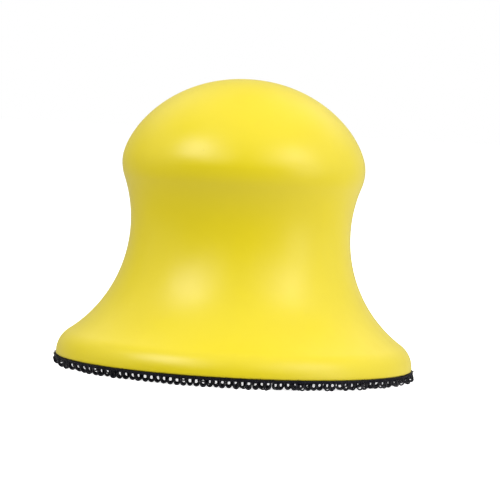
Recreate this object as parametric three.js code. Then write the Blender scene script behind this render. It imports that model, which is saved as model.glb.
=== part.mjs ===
// Mushroom-shaped hand pad for sanding and polishing: a one-piece moulded foam grip,
// glued to a round of woven hook tape that holds loop-backed abrasive discs.
//
// Millimetres, +Z up. The origin is on the grip's axis, at the level of the hook tips,
// which is the plane that the pad works on.

import * as THREE from "three";

// Foam grip
const GRIP_BASE_DIAMETER = 72.4; // across the lip of the skirt
const GRIP_HEIGHT = 57.35; // flat base to crown
const DOME_DIAMETER = 49.4; // widest level of the palm dome
const DOME_CROWN_HEIGHT = 17.55; // crown above the dome's widest level
const CROWN_SWEEP = 15.7; // how far out the dome's curve is drawn level from the crown
const RIM_SWEEP = 6; // how far up it is drawn upright from the widest level
const UNDER_RIM_RADIUS = 9.4; // round below the widest level, where the fingers curl in
const WAIST_UNDERCUT = 2.35; // how far the waist stands in from the dome on each side
const LIP_RADIUS = 5.2; // round of the skirt's lip
const LIP_LAND = 0.57; // upright land below the lip's round

// Hook disc, from the grip's base down to the hook tips
const DISC_OVERHANG = 0.3; // the disc stands out past the lip by this much all round
const ADHESIVE_THICKNESS = 0.15;
const BACK_COAT_THICKNESS = 0.12;
const GROUND_THICKNESS = 0.35; // woven ground cloth of the tape
const HOOK_HEIGHT = 1.5; // hook yarns below the ground cloth
const COLUMN_PITCH = 1.26; // one column of hooks to the next
const HOOK_SPAN = 1.0; // one hook from side to side

// Fineness of the faceted surfaces
const CHORD_ERROR = 0.05; // arcs of the profile stray from true by no more than this
const DOME_STEPS = 16; // straight steps along the dome's curve
const GRIP_SEGMENTS = 64; // facets round the grip
const DISC_SEGMENTS = 96; // facets round the layers of the disc

const foam = new THREE.MeshStandardMaterial({ color: 0xf0dc38, roughness: 0.42, metalness: 0 });
const adhesive = new THREE.MeshStandardMaterial({ color: 0x5a5038, roughness: 0.5, metalness: 0 });
const backCoat = new THREE.MeshStandardMaterial({ color: 0x17171b, roughness: 0.6, metalness: 0 });
const groundCloth = new THREE.MeshStandardMaterial({ color: 0x141418, roughness: 0.85, metalness: 0 });
const hookYarn = new THREE.MeshStandardMaterial({ color: 0x101014, roughness: 0.35, metalness: 0 });

// Levels, built up from the hook tips
const groundLevel = HOOK_HEIGHT;
const backCoatLevel = groundLevel + GROUND_THICKNESS;
const adhesiveLevel = backCoatLevel + BACK_COAT_THICKNESS;
const gripLevel = adhesiveLevel + ADHESIVE_THICKNESS;
const discRadius = GRIP_BASE_DIAMETER / 2 + DISC_OVERHANG;

// Points along an arc, enough of them to keep each chord within CHORD_ERROR of it.
function arcPoints(centre, radius, from, to) {
  const widestStep = 2 * Math.acos(1 - CHORD_ERROR / radius);
  const steps = Math.ceil(Math.abs(to - from) / widestStep);
  return Array.from({ length: steps + 1 }, (_, i) => {
    const angle = from + ((to - from) * i) / steps;
    return new THREE.Vector2(
      centre.x + radius * Math.cos(angle),
      centre.y + radius * Math.sin(angle),
    );
  });
}

// Direction from one arc's centre to another's.
function bearing(from, to) {
  return Math.atan2(to.y - from.y, to.x - from.x);
}

// Height between the centres of a bulging arc and the hollow arc tangent to it, when the
// bulge's widest point stands out past the hollow's narrowest by `reach`.
function rise(reach, radiusSum) {
  return Math.sqrt(Math.max(2 * reach * radiusSum - reach * reach, 0));
}

// Radius of the hollow waist arc that runs tangent into the round under the dome's rim
// above it and into the lip below it. The rise over both joints grows with the radius, so
// halving the bracket finds the one that spans the height between the two.
function waistArcRadius(heightBetween, undercut, flare) {
  let low = 0;
  let high = heightBetween * heightBetween;
  while (high - low > 1e-9 * high) {
    const middle = (low + high) / 2;
    const spanned = rise(undercut, middle + UNDER_RIM_RADIUS) + rise(flare, middle + LIP_RADIUS);
    if (spanned < heightBetween) low = middle;
    else high = middle;
  }
  return (low + high) / 2;
}

// Half outline of the grip as radius and height above its base: up the lip, in round the
// waist, out to the dome's rim and over the crown, each stretch tangent to the next.
function gripProfile() {
  const baseRadius = GRIP_BASE_DIAMETER / 2;
  const domeRadius = DOME_DIAMETER / 2;
  const waistRadius = domeRadius - WAIST_UNDERCUT;
  const domeLevel = GRIP_HEIGHT - DOME_CROWN_HEIGHT;
  const flare = baseRadius - waistRadius;

  const waistArc = waistArcRadius(domeLevel - LIP_LAND, WAIST_UNDERCUT, flare);

  const lip = new THREE.Vector2(baseRadius - LIP_RADIUS, LIP_LAND);
  const waist = new THREE.Vector2(
    waistRadius + waistArc,
    LIP_LAND + rise(flare, waistArc + LIP_RADIUS),
  );
  const underRim = new THREE.Vector2(domeRadius - UNDER_RIM_RADIUS, domeLevel);
  const lipToWaist = bearing(lip, waist);
  const waistToRim = bearing(waist, underRim);

  const dome = new THREE.CubicBezierCurve(
    new THREE.Vector2(domeRadius, domeLevel),
    new THREE.Vector2(domeRadius, domeLevel + RIM_SWEEP),
    new THREE.Vector2(CROWN_SWEEP, GRIP_HEIGHT),
    new THREE.Vector2(0, GRIP_HEIGHT),
  );

  return [
    new THREE.Vector2(0, 0),
    new THREE.Vector2(baseRadius, 0),
    ...arcPoints(lip, LIP_RADIUS, 0, lipToWaist),
    ...arcPoints(waist, waistArc, lipToWaist + Math.PI, waistToRim).slice(1),
    ...arcPoints(underRim, UNDER_RIM_RADIUS, waistToRim - Math.PI, 0).slice(1, -1),
    ...dome.getPoints(DOME_STEPS),
  ];
}

// A turned solid: three.js turns about Y, so it is stood up on Z.
function standing(name, geometry, material, level) {
  const mesh = new THREE.Mesh(geometry, material);
  mesh.name = name;
  mesh.rotation.x = Math.PI / 2;
  mesh.position.z = level;
  return mesh;
}

function foamGrip() {
  const geometry = new THREE.LatheGeometry(gripProfile(), GRIP_SEGMENTS);
  return standing("foam_grip", geometry, foam, gripLevel);
}

// One round layer of the disc, from its level up.
function discLayer(name, thickness, material, level) {
  const geometry = new THREE.CylinderGeometry(discRadius, discRadius, thickness, DISC_SEGMENTS);
  return standing(name, geometry, material, level + thickness / 2);
}

// Angle round the disc at which a line parallel to Y, `offset` from the axis, meets its
// outline. A line that misses the disc counts as touching it.
function outlineAngle(offset) {
  return Math.acos(THREE.MathUtils.clamp(offset / discRadius, -1, 1));
}

// Two neighbouring columns of hooks, whose hooks face opposite ways, as one plain rib
// that runs from edge to edge of the disc and ends on its round outline.
function hookYarnPair(name, centre, width) {
  const left = outlineAngle(centre - width / 2);
  const right = outlineAngle(centre + width / 2);
  const outline = new THREE.Shape();
  outline.absarc(0, 0, discRadius, right, left);
  outline.absarc(0, 0, discRadius, -left, -right);
  const geometry = new THREE.ExtrudeGeometry(outline, {
    depth: HOOK_HEIGHT,
    bevelEnabled: false,
    curveSegments: 2,
  });
  const mesh = new THREE.Mesh(geometry, hookYarn);
  mesh.name = name;
  return mesh;
}

// The ribs stand side by side across the disc, one of them on the axis. The outermost is
// cut by the outline, and is left out where less than one hook of it would remain.
function hookYarns() {
  const pairPitch = 2 * COLUMN_PITCH;
  const pairWidth = COLUMN_PITCH + HOOK_SPAN;
  const eachSide = Math.floor((discRadius - HOOK_SPAN + pairWidth / 2) / pairPitch);
  return Array.from({ length: 2 * eachSide + 1 }, (_, i) => {
    const name = `hook_yarn_${String(i + 1).padStart(2, "0")}`;
    return hookYarnPair(name, (i - eachSide) * pairPitch, pairWidth);
  });
}

const handPad = new THREE.Group();
handPad.add(
  foamGrip(),
  discLayer("adhesive_film", ADHESIVE_THICKNESS, adhesive, adhesiveLevel),
  discLayer("tape_back_coat", BACK_COAT_THICKNESS, backCoat, backCoatLevel),
  discLayer("tape_ground", GROUND_THICKNESS, groundCloth, groundLevel),
  ...hookYarns(),
);

export default handPad;
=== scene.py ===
"""Hand sanding pad: finished surfaces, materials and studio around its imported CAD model.

A moulded foam grip stands on a round of woven hook tape. Lengths are in metres.
"""

import math

import bpy
import numpy as np
from bpy.props import FloatProperty, FloatVectorProperty, IntProperty, PointerProperty
from mathutils import Matrix, Vector


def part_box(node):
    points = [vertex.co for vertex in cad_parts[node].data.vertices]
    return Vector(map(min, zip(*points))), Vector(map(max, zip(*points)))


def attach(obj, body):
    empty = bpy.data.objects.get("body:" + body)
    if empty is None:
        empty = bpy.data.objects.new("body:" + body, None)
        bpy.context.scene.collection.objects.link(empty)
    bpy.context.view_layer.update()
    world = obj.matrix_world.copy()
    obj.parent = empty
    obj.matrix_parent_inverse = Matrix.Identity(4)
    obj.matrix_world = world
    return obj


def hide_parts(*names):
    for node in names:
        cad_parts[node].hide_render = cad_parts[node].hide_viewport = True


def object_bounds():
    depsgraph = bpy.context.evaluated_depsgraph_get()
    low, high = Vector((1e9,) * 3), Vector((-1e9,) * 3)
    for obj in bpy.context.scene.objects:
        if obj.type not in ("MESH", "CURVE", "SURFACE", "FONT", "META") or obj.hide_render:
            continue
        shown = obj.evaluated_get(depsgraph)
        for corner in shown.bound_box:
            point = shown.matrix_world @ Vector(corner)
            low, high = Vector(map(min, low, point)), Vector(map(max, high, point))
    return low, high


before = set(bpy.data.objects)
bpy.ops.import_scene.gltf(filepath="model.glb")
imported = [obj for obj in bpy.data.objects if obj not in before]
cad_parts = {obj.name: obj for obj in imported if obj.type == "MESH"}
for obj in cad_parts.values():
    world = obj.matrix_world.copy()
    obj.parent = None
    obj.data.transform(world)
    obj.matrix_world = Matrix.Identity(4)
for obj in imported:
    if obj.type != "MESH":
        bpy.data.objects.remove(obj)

bl_info = {
    "name": "Hand Sanding Pad",
    "version": (1, 0, 0),
    "blender": (4, 5, 0),
    "location": "3D View > Sidebar > Hand Pad",
    "description": "Builds a foam hand pad with a woven hook face, its materials and a studio",
    "category": "Object",
}

MM = 0.001
TURN = 2 * math.pi

# Fineness of the surfaces: steps along the grip's arcs and round its base, rings along its
# base, its dome and a flat disc, and segments round each piece
GRIP_STEP, FINE_STEP = 0.35 * MM, 0.1 * MM
BASE_RINGS, DOME_RINGS, DISC_RINGS = 24, 96, 16
GRIP_SEGMENTS, GLUE_SEGMENTS, COAT_SEGMENTS, CLOTH_SEGMENTS = 256, 512, 1024, 1536

# The boxes of the CAD solids give every level and the two diameters.
CAD_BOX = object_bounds()
GRIP_LOW, GRIP_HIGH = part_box("foam_grip")
GLUE_LOW, GLUE_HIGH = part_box("adhesive_film")
COAT_LOW, COAT_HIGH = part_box("tape_back_coat")
CLOTH_LOW, CLOTH_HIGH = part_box("tape_ground")
YARN_NODES = sorted(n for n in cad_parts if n.startswith("hook_yarn_"))


def length(name, description, millimetres):
    return FloatProperty(
        name=name, description=description, default=millimetres * MM, unit="LENGTH", precision=5
    )


def angle(name, description, degrees):
    return FloatProperty(
        name=name, description=description, default=math.radians(degrees), subtype="ANGLE"
    )


def share(name, description, value):
    return FloatProperty(
        name=name, description=description, default=value, min=0, max=1, subtype="FACTOR"
    )


def colour(name, description, value):
    return FloatVectorProperty(
        name=name, description=description, default=value, size=3, min=0, max=1, subtype="COLOR"
    )


class GripSettings(bpy.types.PropertyGroup):
    """Outline and skin of the foam grip."""

    dome_diameter: length("Dome diameter", "Across the palm dome at its widest level", 49.4)
    crown_height: length("Crown height", "Crown above the dome's widest level", 17.55)
    crown_sweep: length("Crown sweep", "How far out the dome's curve is drawn level", 15.7)
    rim_sweep: length("Rim sweep", "How far up the dome's curve is drawn upright", 6.0)
    under_rim: length("Under-rim radius", "Round below the dome's widest level", 9.4)
    undercut: length("Waist undercut", "How far the waist stands in from the dome", 2.35)
    lip_radius: length("Lip radius", "Round of the skirt's lip", 5.2)
    lip_land: length("Lip land", "Upright land below the lip's round", 0.57)
    base_round: length("Base round", "Round between the lip and the flat base", 0.25)
    unevenness: length("Unevenness", "Slow waves of the soft moulded surface", 0.03)
    skin_colour: colour("Skin colour", "Even colour of the moulded skin", (0.766, 0.624, 0.010))
    worn_colour: colour("Handled colour", "Skin where hands have dulled it", (0.732, 0.588, 0.012))
    roughness: share("Roughness", "Roughness of the clean skin", 0.36)
    grain: length("Skin grain", "Depth of the skin's fine grain", 0.012)


class TapeSettings(bpy.types.PropertyGroup):
    """Hook tape: cloth, hooks and finishes."""

    column_pitch: length("Column pitch", "One column of hooks to the next", 1.26)
    hook_pitch: length("Hook pitch", "One hook to the next along a column", 1.35)
    hook_span: length("Hook span", "One hook from side to side", 1.32)
    hook_ring: length("Ring height", "Height of a hook's round part", 1.4)
    filament: length("Filament diameter", "Diameter of the hook yarn", 0.35)
    hook_foot: length("Hook foot", "Where a hook leaves the cloth, from its middle", 0.4)
    hook_shift: length("Hook shift", "How far hooks usually stray from their places", 0.06)
    shortfall: length("Shortfall", "How far short of the hook face some hooks end", 0.25)
    rim_width: length("Rim width", "Hooks this near the edge stand to full height", 1.6)
    end_width: length("End width", "So do those this near the two ends of a column", 6.0)
    dish: length("Dish", "How much higher the hooks inside those bands end", 0.95)
    dish_slope: length("Dish slope", "Width over which their height changes", 0.8)
    weft_pitch: length("Weft pitch", "One weft of the ground cloth to the next", 0.36)
    warp_pitch: length("Warp pitch", "One warp of the ground cloth to the next", 0.315)
    fibre_length: length("Fibre length", "Longest loose fibre at the cut edge", 0.5)
    fibre_diameter: length("Fibre diameter", "Diameter of a loose fibre", 0.07)
    fibre_count: IntProperty(
        name="Fibres", description="Loose fibres round the cut edge", default=2600, min=0
    )
    seed: IntProperty(name="Seed", description="Seed of the small differences", default=7)
    yarn_colour: colour("Hook colour", "Dyed monofilament", (0.006, 0.006, 0.010))
    cloth_colour: colour("Cloth colour", "Dyed multifilament", (0.005, 0.005, 0.008))
    # Colour of the bluish specks on the cloth: painted glints on cut filament ends.
    glint_speck_colour: colour("Yarn end colour", "Cut ends of filaments", (0.06, 0.06, 0.11))
    # Glue colour: dark amber, partly the adhesive's own colour and partly painted shade of the gap
    # under the lip.
    shaded_glue_colour: colour("Glue colour", "Adhesive where it shows at the edge", (0.10, 0.085, 0.04))


class StageSettings(bpy.types.PropertyGroup):
    """Camera and floor."""

    eye_distance: length("Camera distance", "Camera to the grip's axis", 600.0)
    eye_height: length("Camera height", "Camera above the floor", 58.45)
    aim_offset: length("Aim offset", "Aim point to the right of the axis", 2.14)
    aim_height: length("Aim height", "Aim point above the floor", 24.88)
    focal_length: FloatProperty(
        name="Focal length", description="Lens in millimetres", default=212.9
    )
    roll: angle("Roll", "Turn of the camera about its line of sight", 3.054)
    floor_white: share("Floor white", "Whiteness of the floor", 0.9)
    floor_glow: share("Floor glow", "Light that the floor gives off by itself", 0.85)


class HandPadSettings(bpy.types.PropertyGroup):
    """All the settings of the hand pad."""

    grip: PointerProperty(type=GripSettings)
    tape: PointerProperty(type=TapeSettings)
    stage: PointerProperty(type=StageSettings)


# Meshes


def mesh_object(name, vertices, *face_blocks):
    """An object from an (n, 3) array of points and blocks of faces, each an (m, corners)
    array of point numbers. All its faces are shaded smooth."""
    corners = np.concatenate([block.ravel() for block in face_blocks])
    sizes = np.concatenate([np.full(len(block), block.shape[1]) for block in face_blocks])
    starts = np.concatenate([[0], np.cumsum(sizes)[:-1]])
    mesh = bpy.data.meshes.new(name)
    mesh.vertices.add(len(vertices))
    mesh.vertices.foreach_set("co", np.asarray(vertices, np.float32).ravel())
    mesh.loops.add(len(corners))
    mesh.loops.foreach_set("vertex_index", corners.astype(np.int32))
    mesh.polygons.add(len(sizes))
    mesh.polygons.foreach_set("loop_start", starts.astype(np.int32))
    mesh.update(calc_edges=True)
    mesh.shade_smooth()
    piece = bpy.data.objects.new(name, mesh)
    bpy.context.scene.collection.objects.link(piece)
    return piece


def band_quads(rows, columns, first=0):
    """Quads of a tube of rows by columns points, numbered row by row from first, where the
    last column joins the first. The faces look outwards when the columns run anticlockwise
    about the way in which the rows advance."""
    row, column = np.mgrid[: rows - 1, :columns]
    after = (column + 1) % columns
    corners = [row * columns + column, row * columns + after]
    corners += [(row + 1) * columns + after, (row + 1) * columns + column]
    return first + np.stack(corners, -1).reshape(-1, 4)


def turned(name, profile, segments, radius_at=None):
    """A solid of revolution. A point is (r cos a, r sin a, z) for each profile point (r, z)
    and each angle a, and radius_at(r, z, a) may change r. The profile runs from the axis
    at the bottom, outwards and up, to the axis at the top, and both poles are closed."""
    turn = np.linspace(0, TURN, segments, endpoint=False)[None, :]
    radius, level = profile[1:-1, 0][:, None], profile[1:-1, 1][:, None]
    if radius_at is not None:
        radius = radius_at(radius, level, turn)
    rings = np.stack(
        np.broadcast_arrays(radius * np.cos(turn), radius * np.sin(turn), level), -1
    )
    poles = np.array([[0, 0, profile[0, 1]], [0, 0, profile[-1, 1]]])
    vertices = np.concatenate([poles, rings.reshape(-1, 3)])
    here = np.arange(segments)
    after = (here + 1) % segments
    top = 2 + (len(profile) - 3) * segments
    bottom_fan = np.stack([np.zeros_like(here), 2 + after, 2 + here], 1)
    top_fan = np.stack([np.ones_like(here), top + here, top + after], 1)
    quads = band_quads(len(profile) - 2, segments, first=2)
    return mesh_object(name, vertices, quads, bottom_fan, top_fan)


def tubes(name, *groups):
    """Closed round tubes, many at a time. A group is (paths, binormals, radii, sides) for
    n tubes of k points: paths (n, k, 3), binormals (n, 3) across each tube's plane, and
    radii (n, k). A point is path + radius (cos a binormal + sin a normal), where the
    normal is tangent x binormal. The ends are flat polygons."""
    vertices, blocks, first = [], [], 0
    for paths, binormals, radii, sides in groups:
        tangents = np.gradient(paths, axis=1)
        across = np.broadcast_to(binormals[:, None, :], paths.shape)
        normals = np.cross(tangents, across)
        normals /= np.linalg.norm(normals, axis=-1, keepdims=True)
        turn = np.linspace(0, TURN, sides, endpoint=False)
        cosine, sine = np.cos(turn)[:, None], np.sin(turn)[:, None]
        ring = across[:, :, None] * cosine + normals[:, :, None] * sine
        points = paths[:, :, None] + radii[:, :, None, None] * ring
        count, steps = paths.shape[:2]
        starts = first + np.arange(count) * steps * sides
        blocks.append((starts[:, None, None] + band_quads(steps, sides)[None]).reshape(-1, 4))
        blocks.append(starts[:, None] + np.arange(sides)[::-1])
        blocks.append(starts[:, None] + (steps - 1) * sides + np.arange(sides))
        vertices.append(points.reshape(-1, 3))
        first += points.size // 3
    return mesh_object(name, np.concatenate(vertices), *blocks)


def arc(centre, radius, start, end, step):
    """Points of a circle from one angle to another, about a step apart."""
    count = max(3, math.ceil(abs(end - start) * radius / step) + 1)
    turn = np.linspace(start, end, count)
    return np.stack([centre[0] + radius * np.cos(turn), centre[1] + radius * np.sin(turn)], 1)


def ripple(turn, *waves):
    """A sum of waves round the axis: amount x sin(count x angle + phase) for each of them."""
    return sum(amount * np.sin(count * turn + phase) for amount, count, phase in waves)


def place(piece, finish, slot, *nodes):
    """Gives a finished piece its material and its body, and hides the CAD nodes that it stands for.
    The slot is not used.
    """
    piece.data.materials.append(finish)
    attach(piece, "root")
    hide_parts(*nodes)


# Materials


class Socket:
    """An output socket that takes part in arithmetic: each operation adds a Math node."""

    def __init__(self, finish, output):
        self.finish, self.output = finish, output

    def math(self, operation, *operands):
        settings = {"operation": operation}
        return self.finish.node("ShaderNodeMath", settings, dict(enumerate(operands)))

    def __add__(self, other):
        return self.math("ADD", self, other)

    def __sub__(self, other):
        return self.math("SUBTRACT", self, other)

    def __rsub__(self, other):
        return self.math("SUBTRACT", other, self)

    def __mul__(self, other):
        return self.math("MULTIPLY", self, other)

    def sine(self):
        return self.math("SINE", self)

    def absolute(self):
        return self.math("ABSOLUTE", self)

    def above(self, low, high):
        """0 below low, 1 above high, and a smooth step between."""
        sockets = {"Value": self, "From Min": low, "From Max": high}
        settings = {"interpolation_type": "SMOOTHSTEP"}
        return self.finish.node("ShaderNodeMapRange", settings, sockets, "Result")

    __radd__ = __add__


class Finish:
    """A material, or the world, whose nodes are added by one method."""

    # Numbers of a Mix node's colour sockets, which share their names with its other ones
    MIX_FACTOR, MIX_FIRST, MIX_SECOND, MIX_RESULT = 0, 6, 7, 2

    def __init__(self, owner):
        self.owner = owner
        owner.use_nodes = True
        self.tree = owner.node_tree
        self.tree.nodes.clear()

    def node(self, kind, settings=None, sockets=None, output=0):
        """Adds a node: its settings first, then the value or link of each socket."""
        made = self.tree.nodes.new(kind)
        for name, value in (settings or {}).items():
            setattr(made, name, value)
        for name, value in (sockets or {}).items():
            if isinstance(value, Socket):
                self.tree.links.new(value.output, made.inputs[name])
            else:
                made.inputs[name].default_value = value
        return Socket(self, made.outputs[output]) if made.outputs else None

    def position(self):
        """The point in the object's own coordinates."""
        return self.node("ShaderNodeTexCoord", output="Object")

    def scaled(self, vector, factors):
        """A vector stretched by a factor on each axis."""
        settings = {"operation": "MULTIPLY"}
        return self.node("ShaderNodeVectorMath", settings, {0: vector, 1: factors})

    def axes(self, vector):
        """The three components of a vector."""
        split = self.node("ShaderNodeSeparateXYZ", None, {0: vector})
        return [Socket(self, output) for output in split.output.node.outputs]

    def noise(self, vector, size, detail=2.0, roughness=0.5):
        """Noise from 0 to 1 with features of about the given size."""
        sockets = {"Vector": vector, "Scale": 1 / size, "Detail": detail, "Roughness": roughness}
        return self.node("ShaderNodeTexNoise", {"noise_dimensions": "3D"}, sockets, "Fac")

    def mix(self, factor, first, second):
        """A colour between two."""
        settings = {"data_type": "RGBA", "blend_type": "MIX"}
        sockets = {self.MIX_FACTOR: factor, self.MIX_FIRST: first, self.MIX_SECOND: second}
        return self.node("ShaderNodeMix", settings, sockets, self.MIX_RESULT)

    def bump(self, height, distance, strength=1.0, normal=None):
        """A normal tilted by a height, in shares of the distance, over another normal."""
        sockets = {"Height": height, "Distance": distance, "Strength": strength}
        if normal is not None:
            sockets["Normal"] = normal
        return self.node("ShaderNodeBump", None, sockets)

    def surface(self, **sockets):
        """Ends the material in a Principled shader. Underscores stand for spaces."""
        named = {name.replace("_", " "): value for name, value in sockets.items()}
        shader = self.node("ShaderNodeBsdfPrincipled", None, named)
        self.node("ShaderNodeOutputMaterial", None, {"Surface": shader})
        return self.owner


def new_finish(name):
    return Finish(bpy.data.materials.new(name))


def opaque(rgb, gain=1.0):
    """A colour, made brighter or darker by a gain, as a socket takes it."""
    return (*(gain * c for c in rgb), 1.0)


def foam_skin(grip):
    """Satin moulded skin: slow tone changes, a dulled look where hands rub, fine grain and a
    few tiny pinholes where air met the mould, their pits darkened with painted shade."""
    finish = new_finish("foam_skin")
    point = finish.position()
    cloud = finish.noise(point, 14 * MM, 3.0)
    mottle = finish.noise(point, 2.2 * MM, 2.0)
    handled = (cloud * 0.75 + mottle * 0.25).above(0.42, 0.72)
    tone = finish.mix(handled * 0.45, opaque(grip.skin_colour), opaque(grip.worn_colour))

    cells = {"Vector": point, "Scale": 1 / (3.4 * MM), "Randomness": 1.0}
    to_pinhole = finish.node("ShaderNodeTexVoronoi", {"feature": "F1"}, cells, "Distance")
    rarity = finish.noise(point, 7 * MM, 1.0).above(0.56, 0.62)
    pinhole = (1 - to_pinhole.above(0.02, 0.045)) * rarity
    # Pinholes darkened in colour: painted shade in the pits.
    tone = finish.mix(pinhole * 0.6, tone, opaque(grip.skin_colour, 0.7))

    orange_peel = finish.noise(point, 0.9 * MM, 2.0)
    fine = finish.noise(point, 0.16 * MM, 2.0, 0.6)
    relief = orange_peel * 0.75 + fine * 0.25 - pinhole * 1.5
    roughness = grip.roughness + (cloud - 0.5) * 0.10 + (fine - 0.5) * 0.08 + handled * 0.04
    return finish.surface(
        Base_Color=tone,
        Roughness=roughness,
        Specular_IOR_Level=0.45,
        Sheen_Weight=0.08,
        Sheen_Roughness=0.4,
        Normal=finish.bump(relief, grip.grain, 0.8),
    )


def glue_line(tape):
    """Amber adhesive with a slightly lumpy edge, darkened as painted shade of the gap under the
    lip.
    """
    finish = new_finish("glue_line")
    point = finish.position()
    lumps = finish.noise(point, 1.3 * MM, 3.0)
    # The glue's colour carries painted shade of the gap under the lip.
    thick, thin = opaque(tape.shaded_glue_colour), opaque(tape.shaded_glue_colour, 0.6)
    return finish.surface(
        Base_Color=finish.mix(lumps, thin, thick),
        Roughness=0.25 + lumps * 0.3,
        Normal=finish.bump(lumps, 0.05 * MM),
    )


def back_coat(tape):
    """Dark binder coat, with the drag marks of the cutting die on its edge."""
    finish = new_finish("back_coat")
    point = finish.position()
    drag = finish.noise(finish.scaled(point, (1.0, 1.0, 0.15)), 0.18 * MM, 2.0)
    film = finish.noise(point, 2.5 * MM, 2.0)
    dark, light = opaque(tape.cloth_colour), opaque(tape.cloth_colour, 2.2)
    return finish.surface(
        Base_Color=finish.mix(film, dark, light),
        Roughness=0.5 + drag * 0.25,
        Specular_IOR_Level=0.2,
        Normal=finish.bump(drag, 0.04 * MM),
    )


def ground_cloth(tape):
    """Plain weave: warps and wefts rise in turn, each a bundle of fine filaments. Their crowns
    are painted lighter and the hollows darker, as painted light and shade. Bluish specks are
    painted glints of broken and cut filaments that catch the light."""
    finish = new_finish("ground_cloth")
    point = finish.position()
    x, y, _ = finish.axes(point)
    across = x * (math.pi / tape.warp_pitch)
    along = y * (math.pi / tape.weft_pitch)
    over_under = (across.sine() * along.sine()).above(-0.6, 0.6)
    warp_crown = across.sine().absolute()
    weft_crown = along.sine().absolute()
    height = over_under * warp_crown + (1 - over_under) * weft_crown
    filaments = finish.noise(point, 0.06 * MM, 2.0, 0.6)
    dye = finish.noise(point, 1.1 * MM, 2.0)
    dark, light = opaque(tape.cloth_colour), opaque(tape.cloth_colour, 2.5)
    # The tone follows the weave's height, with crowns painted lighter and hollows darker as painted
    # light and shade. The rest varies at random.
    tone = finish.mix(height * 0.5 + filaments * 0.25 + dye * 0.25, dark, light)
    # Bluish specks: painted glints where cut filaments would catch the light.
    ends = finish.noise(point, 0.3 * MM, 2.0).above(0.6, 0.75)
    tone = finish.mix(ends * 0.8, tone, opaque(tape.glint_speck_colour))
    weave = finish.bump(height, 0.10 * MM)
    return finish.surface(
        Base_Color=tone,
        Roughness=0.65 + filaments * 0.25,
        Specular_IOR_Level=0.1,
        Normal=finish.bump(filaments, 0.02 * MM, 0.7, weave),
    )


def hook_yarn(tape):
    """Drawn monofilament: glossy along its length, with scuffed crowns."""
    finish = new_finish("hook_yarn")
    point = finish.position()
    _, _, z = finish.axes(point)
    scuff = finish.noise(point, 0.25 * MM, 2.0)
    dye = finish.noise(point, 3.0 * MM, 2.0)
    crown = 1 - z.above(0.1 * MM, 0.5 * MM)
    dark, light = opaque(tape.yarn_colour), opaque(tape.yarn_colour, 3.0)
    return finish.surface(
        Base_Color=finish.mix(dye * 0.5 + crown * scuff * 0.5, dark, light),
        Roughness=0.26 + crown * scuff * 0.3 + dye * 0.08,
        Specular_IOR_Level=0.3,
        Normal=finish.bump(scuff, 0.01 * MM, 0.6),
    )


# Foam grip


def rise(reach, radius_sum):
    """Height between the centres of a bulging arc and the hollow arc tangent to it, when the
    bulge stands out past the hollow by reach."""
    return math.sqrt(max(2 * reach * radius_sum - reach**2, 0))


def waist_arc_radius(height, undercut, flare, under_rim, lip_radius):
    """Radius of the hollow arc tangent to the round under the dome's rim and to the lip. The
    rise over both joints grows with it, so the bracket that holds it is halved."""
    low, high = 0.0, 2 * height
    while high - low > 1e-9 * height:
        middle = (low + high) / 2
        spanned = rise(undercut, middle + under_rim) + rise(flare, middle + lip_radius)
        low, high = (middle, high) if spanned < height else (low, middle)
    return (low + high) / 2


def bearing(start, end):
    """Angle of the way from one point of the outline's plane to another."""
    return math.atan2(end[1] - start[1], end[0] - start[0])


def grip_profile(grip):
    """Half outline of the grip as radius and level: out across the base, round its edge, up
    the lip, in round the waist, out to the dome's rim, all arcs tangent to each other, and
    over the crown on a cubic Bezier curve that leaves the rim upright and ends level."""
    base = (GRIP_HIGH.x - GRIP_LOW.x) / 2
    floor, top = GRIP_LOW.z, GRIP_HIGH.z
    dome = grip.dome_diameter / 2
    waist = dome - grip.undercut
    dome_level = top - grip.crown_height
    lip_level = floor + grip.lip_land
    flare = base - waist
    hollow = waist_arc_radius(
        dome_level - lip_level, grip.undercut, flare, grip.under_rim, grip.lip_radius
    )

    base_at = (base - grip.base_round, floor + grip.base_round)
    lip_at = (base - grip.lip_radius, lip_level)
    waist_at = (waist + hollow, lip_level + rise(flare, hollow + grip.lip_radius))
    rim_at = (dome - grip.under_rim, dome_level)
    to_waist, to_rim = bearing(lip_at, waist_at), bearing(waist_at, rim_at)

    base_rings = np.linspace(0, base_at[0], BASE_RINGS, endpoint=False)
    controls = np.array(
        [[dome, dome_level], [dome, dome_level + grip.rim_sweep], [grip.crown_sweep, top], [0, top]]
    )
    t = np.linspace(0, 1, DOME_RINGS)[1:, None]
    weights = ((1 - t) ** 3, 3 * t * (1 - t) ** 2, 3 * t**2 * (1 - t), t**3)
    return np.concatenate(
        [
            np.stack([base_rings, np.full_like(base_rings, floor)], 1),
            arc(base_at, grip.base_round, -math.pi / 2, 0, FINE_STEP),
            arc(lip_at, grip.lip_radius, 0, to_waist, GRIP_STEP),
            arc(waist_at, hollow, to_waist + math.pi, to_rim, GRIP_STEP)[1:],
            arc(rim_at, grip.under_rim, to_rim - math.pi, 0, GRIP_STEP)[1:],
            sum(weight * control for weight, control in zip(weights, controls)),
        ]
    )


def make_grip(grip):
    """The grip is turned from its outline, then its radius is moved by three slow waves in
    angle and level, as on a soft moulding. They fade out towards the axis and the base."""
    floor = GRIP_LOW.z
    height = GRIP_HIGH.z - floor
    axis_fade, base_fade = 10 * MM, 0.06 * height

    def uneven(radius, level, turn):
        up = (level - floor) / height
        waves = ripple(turn, (1, 2, 5 * up), (0.6, 3, 1 - 9 * up), (0.4, 7, 2 + 14 * up))
        fade = np.clip(radius / axis_fade, 0, 1) * np.clip((level - floor) / base_fade, 0, 1)
        return radius + grip.unevenness * waves * fade

    piece = turned("grip_foam", grip_profile(grip), GRIP_SEGMENTS, uneven)
    place(piece, foam_skin(grip), "foam_skin", "foam_grip")


# Hook tape


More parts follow.
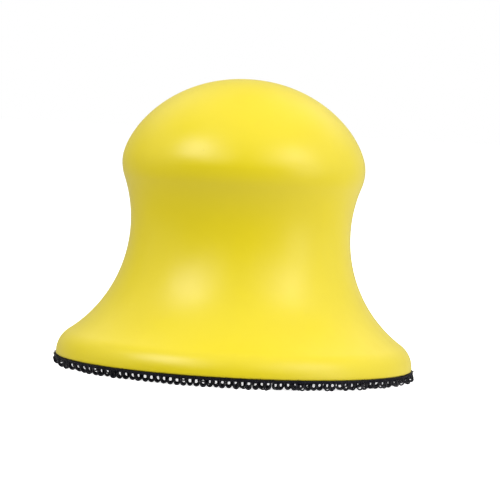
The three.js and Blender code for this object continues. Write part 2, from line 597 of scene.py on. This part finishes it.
def disc_profile(radius, low, high, edge):
    """Half outline of a flat disc whose upper and lower edges are rounded: out along its
    underside, a quarter of a circle up, another one in, and back along its top."""
    quarter = math.pi / 2
    rings = np.linspace(0, radius - edge, DISC_RINGS, endpoint=False)
    lower = arc((radius - edge, low + edge), edge, -quarter, 0, edge / 3)
    upper = arc((radius - edge, high - edge), edge, 0, quarter, edge / 3)
    under = np.stack([rings, np.full_like(rings, low)], 1)
    over = np.stack([rings[::-1], np.full_like(rings, high)], 1)
    return np.concatenate([under, lower, upper, over])


def make_glue(tape):
    """A thin disc whose edge wanders in and out under the lip, on three waves in angle."""
    inset, edge, wander = 0.4 * MM, 0.05 * MM, 0.04 * MM
    radius = (GRIP_HIGH.x - GRIP_LOW.x) / 2 - inset
    inner = 0.9 * radius

    def wandering(r, level, turn):
        waves = ripple(turn, (1, 5, 0), (1, 13, 2), (1, 29, 4))
        return r + wander * waves * (r > inner)

    profile = disc_profile(radius, GLUE_LOW.z, GLUE_HIGH.z, edge)
    piece = turned("glue_film", profile, GLUE_SEGMENTS, wandering)
    place(piece, glue_line(tape), "adhesive", "adhesive_film")


def make_back_coat(tape):
    """A thin disc with a die-cut edge, about level with the ends of the cloth's yarns. The
    die's drag is a wave in angle that swells and fades, and a finer one."""
    inset, edge, drag = 0.06 * MM, 0.03 * MM, 0.02 * MM
    radius = COAT_HIGH.x - inset
    inner = 0.9 * radius

    def dragged(r, level, turn):
        waves = np.sin(61 * turn) * np.sin(17 * turn + 1) + 0.5 * np.sin(211 * turn)
        return r + drag * waves * (r > inner)

    profile = disc_profile(radius, COAT_LOW.z, COAT_HIGH.z, edge)
    piece = turned("back_coat", profile, COAT_SEGMENTS, dragged)
    place(piece, back_coat(tape), "back_coat", "tape_back_coat")


def make_cloth(tape):
    """The ground cloth: a disc whose cut edge shows the ends of the yarns, each a half wave
    that stands out by the depth. Where the edge faces along Y the ends are those of the
    warps, one per warp pitch in x, and where it faces along X those of the wefts, one per
    weft pitch in y."""
    depth, edge, root = 0.12 * MM, 0.12 * MM, 0.3
    radius = CLOTH_HIGH.x - depth
    inner = 0.95 * radius

    def yarn_ends(r, level, turn):
        warps = np.abs(np.sin(math.pi * radius * np.cos(turn) / tape.warp_pitch))
        wefts = np.abs(np.sin(math.pi * radius * np.sin(turn) / tape.weft_pitch))
        facing = np.sin(turn) ** 2
        ends = facing * warps + (1 - facing) * wefts
        return r + depth * (ends - root) * (r > inner)

    profile = disc_profile(radius, CLOTH_LOW.z, CLOTH_HIGH.z, edge)
    piece = turned("ground_cloth", profile, CLOTH_SEGMENTS, yarn_ends)
    place(piece, ground_cloth(tape), "ground_weave", "tape_ground")


# A hook: points along its round part, the angles from its crown at which that begins and may
# be cut, in degrees, and the levels of its stub as shares of its own height
HOOK_POINTS = 10
SHOULDER, FIRST_CUT, LAST_CUT = 118, 95, 150
STUB_LEVELS = (0, 0.2, 0.42)

# How hooks stand: the turn of all in a column and the usual turn of one by itself, in
# degrees; the usual lean of one by itself, as run over height; and the lean gained for each
# radius that it stands further left than LEAN_START radii from the axis
COLUMN_TURN, OWN_TURN = 6, 14
OWN_LEAN, LEFT_LEAN, LEAN_START = 0.16, 0.45, 0.25


def unruliness(places):
    """How much the hooks at some places differ from their neighbours, from 0.4 to 1.3: a
    wave in the bearing that goes twice round the disc."""
    way = np.arctan2(places[:, 1], places[:, 0])
    return 0.85 - 0.45 * np.cos(2 * (way + math.radians(120)))


def full_height(tape, places):
    """1 in the bands near the disc's edge and near the two ends of a column, where hooks
    stand to full height, 0 inside them, and an even slope between."""
    inset = CLOTH_HIGH.x - np.hypot(places[:, 0], places[:, 1])
    from_end = np.sqrt(CLOTH_HIGH.x**2 - places[:, 0] ** 2) - np.abs(places[:, 1])
    outside = np.maximum(tape.rim_width - inset, tape.end_width - from_end)
    return np.clip(outside / tape.dish_slope + 0.5, 0, 1)


def hook_paths(tape, places, hand, rng):
    """Centrelines of hooks and of the stubs left beside them. In its own plane a hook leaves
    the cloth, goes round an upright ellipse that is wider than its feet and ends at a
    random angle where it was cut; the stub is what the cut left standing. A point is the
    hook's place, plus across along its plane, plus below times its lean, and below under the
    cloth. Each hook turns, leans, strays and falls short a little by itself, in proportion
    to its unruliness. The face is dished: away from the edge and the columns' ends hooks
    end higher. Near the left edge they lean in over their neighbours."""
    count = len(places)
    unruly, rim = unruliness(places), full_height(tape, places)
    base = CLOTH_LOW.z
    half_span = (tape.hook_span - tape.filament) / 2
    half_ring = (tape.hook_ring - tape.filament) / 2
    tall = base - tape.filament / 2
    drop = tall - tape.shortfall * unruly * rng.random(count) ** 2
    drop = drop - (1 - rim) * tape.dish * (0.85 + 0.15 * rng.random(count))
    size = drop / tall

    shoulder = math.radians(SHOULDER)
    cut = np.radians(rng.uniform(FIRST_CUT, LAST_CUT, count))
    turn = np.linspace(-shoulder, cut, HOOK_POINTS).T
    across = half_span * np.sin(turn)
    below = drop[:, None] - half_ring * size[:, None] * (1 - np.cos(turn))
    across = np.concatenate([np.full((count, 1), -tape.hook_foot), across], 1)
    below = np.concatenate([np.zeros((count, 1)), below], 1)
    stub_across = np.array([tape.hook_foot, half_span * math.sin(shoulder), half_span])
    stub_across = np.broadcast_to(stub_across, (count, 3))
    stub_below = drop[:, None] * np.array(STUB_LEVELS)

    twist = hand * math.radians(COLUMN_TURN)
    twist = twist + rng.normal(0, math.radians(OWN_TURN), count) * unruly
    lean = rng.normal(0, OWN_LEAN, (count, 2)) * unruly[:, None]
    further_left = np.clip(-places[:, 0] / CLOTH_HIGH.x - LEAN_START, 0, 1)
    lean[:, 0] += rim * LEFT_LEAN * further_left
    feet = places + rng.normal(0, tape.hook_shift, (count, 2)) * unruly[:, None]
    plane = np.stack([np.cos(twist), np.sin(twist)], 1) * hand

    def stand(out, down):
        flat = feet[:, None] + plane[:, None] * out[..., None] + lean[:, None] * down[..., None]
        return np.concatenate([flat, base - down[..., None]], -1)

    binormals = np.stack([-plane[:, 1], plane[:, 0], np.zeros(count)], 1)
    return stand(across, below), stand(stub_across, stub_below), binormals


def make_hook_yarns(tape):
    """One piece for each pair of columns. The hooks of a column stand a pitch apart along Y,
    as far as the disc's edge, and those of the next column face the other way and stand half
    a pitch on."""
    finish = hook_yarn(tape)
    rng = np.random.default_rng(tape.seed)
    rim = CLOTH_HIGH.x - 0.25 * MM
    last = math.ceil(rim / tape.hook_pitch)
    sides = 5
    for node in YARN_NODES:
        low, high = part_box(node)
        centre = (low.x + high.x) / 2
        groups = []
        for hand in (-1, 1):
            x = centre + hand * tape.column_pitch / 2
            reach = math.sqrt(max(rim**2 - x**2, 0))
            y = np.arange(-last, last + 1) * tape.hook_pitch + hand * tape.hook_pitch / 4
            y = y[np.abs(y) < reach]
            places = np.stack([np.full(len(y), x), y], 1)
            hooks, stubs, binormals = hook_paths(tape, places, hand, rng)
            for paths in (hooks, stubs):
                radii = np.full(paths.shape[:2], tape.filament / 2)
                groups.append((paths, binormals, radii, sides))
        piece = tubes(node.replace("hook_yarn", "hooks"), *groups)
        place(piece, finish, "hook_monofilament", node)


def make_fibres(tape):
    """Loose ends of cut filaments round the edge: short tapered hairs that start in the cloth
    or its coat and stand out. Each runs straight along its own swing and slope, less the
    square of the way along it over the droop. Most are single filaments, and a few are tufts
    more than twice as thick."""
    rng = np.random.default_rng(tape.seed + 1)
    count, steps, sides = tape.fibre_count, 4, 3
    droop, taper = 2.0 * MM, 0.6
    turn = rng.random(count) * TURN
    start = CLOTH_LOW.z + rng.random(count) ** 0.5 * (COAT_HIGH.z - CLOTH_LOW.z)
    reach = tape.fibre_length * (0.35 + 0.65 * rng.random(count) ** 2)
    swing = turn + rng.normal(0, 0.9, count)
    slope = 1.2 * np.tanh(rng.normal(0.4, 1.0, count))
    along = np.linspace(0, 1, steps)[None, :] * reach[:, None]
    root = CLOTH_HIGH.x - 0.15 * MM
    paths = np.stack(
        [
            root * np.cos(turn)[:, None] + along * np.cos(swing)[:, None],
            root * np.sin(turn)[:, None] + along * np.sin(swing)[:, None],
            start[:, None] + along * slope[:, None] - along**2 / droop,
        ],
        -1,
    )
    binormals = np.stack([-np.sin(swing), np.cos(swing), np.zeros(count)], 1)
    thickness = tape.fibre_diameter / 2 * (1 + 1.6 * rng.random(count) ** 4)
    radii = thickness[:, None] * np.linspace(1, taper, steps)[None, :]
    piece = tubes("edge_fibres", (paths, binormals, radii, sides))
    place(piece, hook_yarn(tape), "ground_weave")


# Studio

# Side of the square floor, in metres
FLOOR_SIDE = 6.0

# Strength of the light from below, above, the right and behind
TABLE_LIGHT, CEILING_LIGHT, RIGHT_LIGHT, BACK_LIGHT = 1.46, 0.23, 0.6, 0.47

# Softboxes: bearing from the pad's front and height above its middle, in degrees, then
# distance and side, in metres, and power, in watts
SOFTBOXES = {
    "left_key": (-54, 38, 0.9, 0.42, 3.54),
    "right_key": (56, 34, 0.9, 0.42, 2.32),
    "left_fill": (-30, 30, 1.0, 0.5, 1.71),
    "right_fill": (30, 30, 1.0, 0.5, 1.07),
    "low_fill": (60, 5, 1.0, 0.5, 1.39),
    "overhead": (0, 80, 1.2, 1.4, 4.8),
    "left_wall": (-85, 20, 1.2, 1.2, 2.77),
    "right_wall": (85, 20, 1.2, 1.2, 2.49),
    "back_left": (-140, 45, 1.2, 0.8, 1.1),
    "back_right": (140, 45, 1.2, 0.8, 1.1),
}


def aimed(made, where, target, roll=0.0):
    """Puts a lamp or camera at a point, looking at another, turned about its line of sight."""
    way = Vector(target) - Vector(where)
    turn = way.to_track_quat("-Z", "Y").to_matrix().to_4x4()
    made.matrix_world = Matrix.Translation(where) @ turn @ Matrix.Rotation(roll, 4, "Z")
    bpy.context.scene.collection.objects.link(made)


def softbox(name, azimuth, elevation, distance, side, power):
    """A square lamp at a bearing round the pad, from its front, that looks at its middle."""
    lamp = bpy.data.lights.new(name, "AREA")
    lamp.shape = "SQUARE"
    lamp.size = side
    lamp.energy = power
    turn, up = math.radians(azimuth), math.radians(elevation)
    way = Vector((math.sin(turn) * math.cos(up), -math.cos(turn) * math.cos(up), math.sin(up)))
    middle = Vector((0, 0, CAD_BOX[1][2] / 2))
    aimed(bpy.data.objects.new(name, lamp), middle + distance * way, middle)


def make_floor(stage):
    """A wide white floor at the level of the hook tips. It glows, so that it stays white
    under the pad, and the pad is neither lit by it nor reflects it."""
    finish = new_finish("stage_floor")
    white = (stage.floor_white,) * 3
    finish.surface(
        Base_Color=opaque(white),
        Roughness=0.9,
        Specular_IOR_Level=0.0,
        Emission_Color=(1, 1, 1, 1),
        Emission_Strength=stage.floor_glow,
    )
    half = FLOOR_SIDE / 2
    corners = np.array([[-half, -half, 0], [half, -half, 0], [half, half, 0], [-half, half, 0]])
    floor = mesh_object("floor", corners, np.array([[0, 1, 2, 3]]))
    floor.data.materials.append(finish.owner)
    floor.visible_glossy = False
    floor.visible_diffuse = False


def make_world():
    """Studio surroundings that light the pad: bright from the table below, soft from above
    and behind and a little more from the right, dark in front, and plain white where the
    camera sees them. Each part grows smoothly towards its own direction."""
    world = bpy.data.worlds.new("studio")
    bpy.context.scene.world = world
    finish = Finish(world)
    way = finish.node("ShaderNodeTexCoord", output="Generated")
    right, back, up = finish.axes(way)
    table = (0 - up).above(0, 1) * TABLE_LIGHT
    ceiling = up.above(0, 1) * CEILING_LIGHT
    side = right.above(0, 1) * RIGHT_LIGHT + back.above(0, 1) * BACK_LIGHT
    light = finish.node("ShaderNodeBackground", None, {"Strength": table + ceiling + side})
    white = finish.node("ShaderNodeBackground", None, {"Color": (1, 1, 1, 1), "Strength": 1.0})
    seen = finish.node("ShaderNodeLightPath", output="Is Camera Ray")
    both = finish.node("ShaderNodeMixShader", None, {0: seen, 1: light, 2: white})
    finish.node("ShaderNodeOutputWorld", None, {"Surface": both})


def make_camera(stage):
    """The camera, in front of the pad and a little above it."""
    lens = bpy.data.cameras.new("camera")
    lens.lens = stage.focal_length
    lens.sensor_width = 36.0
    lens.clip_start, lens.clip_end = 0.01, 20.0
    camera = bpy.data.objects.new("camera", lens)
    where = (0.0, -stage.eye_distance, stage.eye_height)
    aimed(camera, where, (stage.aim_offset, 0.0, stage.aim_height), stage.roll)
    bpy.context.scene.camera = camera


# Operators


class HAND_PAD_OT_foam_grip(bpy.types.Operator):
    """Build the moulded foam grip"""

    bl_idname = "hand_pad.foam_grip"
    bl_label = "Foam Grip"

    def execute(self, context):
        make_grip(context.scene.hand_pad.grip)
        return {"FINISHED"}


class HAND_PAD_OT_glue(bpy.types.Operator):
    """Build the adhesive film between grip and tape"""

    bl_idname = "hand_pad.glue"
    bl_label = "Adhesive Film"

    def execute(self, context):
        make_glue(context.scene.hand_pad.tape)
        return {"FINISHED"}


class HAND_PAD_OT_tape_base(bpy.types.Operator):
    """Build the tape's back coat and ground cloth"""

    bl_idname = "hand_pad.tape_base"
    bl_label = "Tape Base"

    def execute(self, context):
        tape = context.scene.hand_pad.tape
        make_back_coat(tape)
        make_cloth(tape)
        return {"FINISHED"}


class HAND_PAD_OT_hooks(bpy.types.Operator):
    """Build the hook yarns, pair of columns by pair"""

    bl_idname = "hand_pad.hooks"
    bl_label = "Hook Yarns"

    def execute(self, context):
        make_hook_yarns(context.scene.hand_pad.tape)
        return {"FINISHED"}


class HAND_PAD_OT_fibres(bpy.types.Operator):
    """Build the loose fibres of the tape's cut edge"""

    bl_idname = "hand_pad.fibres"
    bl_label = "Edge Fibres"

    def execute(self, context):
        make_fibres(context.scene.hand_pad.tape)
        return {"FINISHED"}


class HAND_PAD_OT_stage(bpy.types.Operator):
    """Build the floor, the lights and the camera"""

    bl_idname = "hand_pad.stage"
    bl_label = "Stage"

    def execute(self, context):
        stage = context.scene.hand_pad.stage
        context.scene.view_settings.view_transform = "Standard"
        make_floor(stage)
        make_world()
        for name, lamp in SOFTBOXES.items():
            softbox(name, *lamp)
        make_camera(stage)
        return {"FINISHED"}


OPERATORS = (
    HAND_PAD_OT_foam_grip,
    HAND_PAD_OT_glue,
    HAND_PAD_OT_tape_base,
    HAND_PAD_OT_hooks,
    HAND_PAD_OT_fibres,
    HAND_PAD_OT_stage,
)


class HAND_PAD_PT_sidebar(bpy.types.Panel):
    """Buttons that build the hand pad"""

    bl_idname = "HAND_PAD_PT_sidebar"
    bl_label = "Hand Pad"
    bl_space_type = "VIEW_3D"
    bl_region_type = "UI"
    bl_category = "Hand Pad"

    def draw(self, context):
        for operator in OPERATORS:
            self.layout.operator(operator.bl_idname)


GROUPS = (GripSettings, TapeSettings, StageSettings, HandPadSettings)
CLASSES = (*GROUPS, *OPERATORS, HAND_PAD_PT_sidebar)


def register():
    for cls in CLASSES:
        bpy.utils.register_class(cls)
    bpy.types.Scene.hand_pad = PointerProperty(type=HandPadSettings)


def unregister():
    del bpy.types.Scene.hand_pad
    for cls in reversed(CLASSES):
        bpy.utils.unregister_class(cls)


def main():
    """Builds everything in order."""
    register()
    bpy.ops.hand_pad.foam_grip()
    bpy.ops.hand_pad.glue()
    bpy.ops.hand_pad.tape_base()
    bpy.ops.hand_pad.hooks()
    bpy.ops.hand_pad.fibres()
    bpy.ops.hand_pad.stage()


if __name__ == "__main__":
    main()
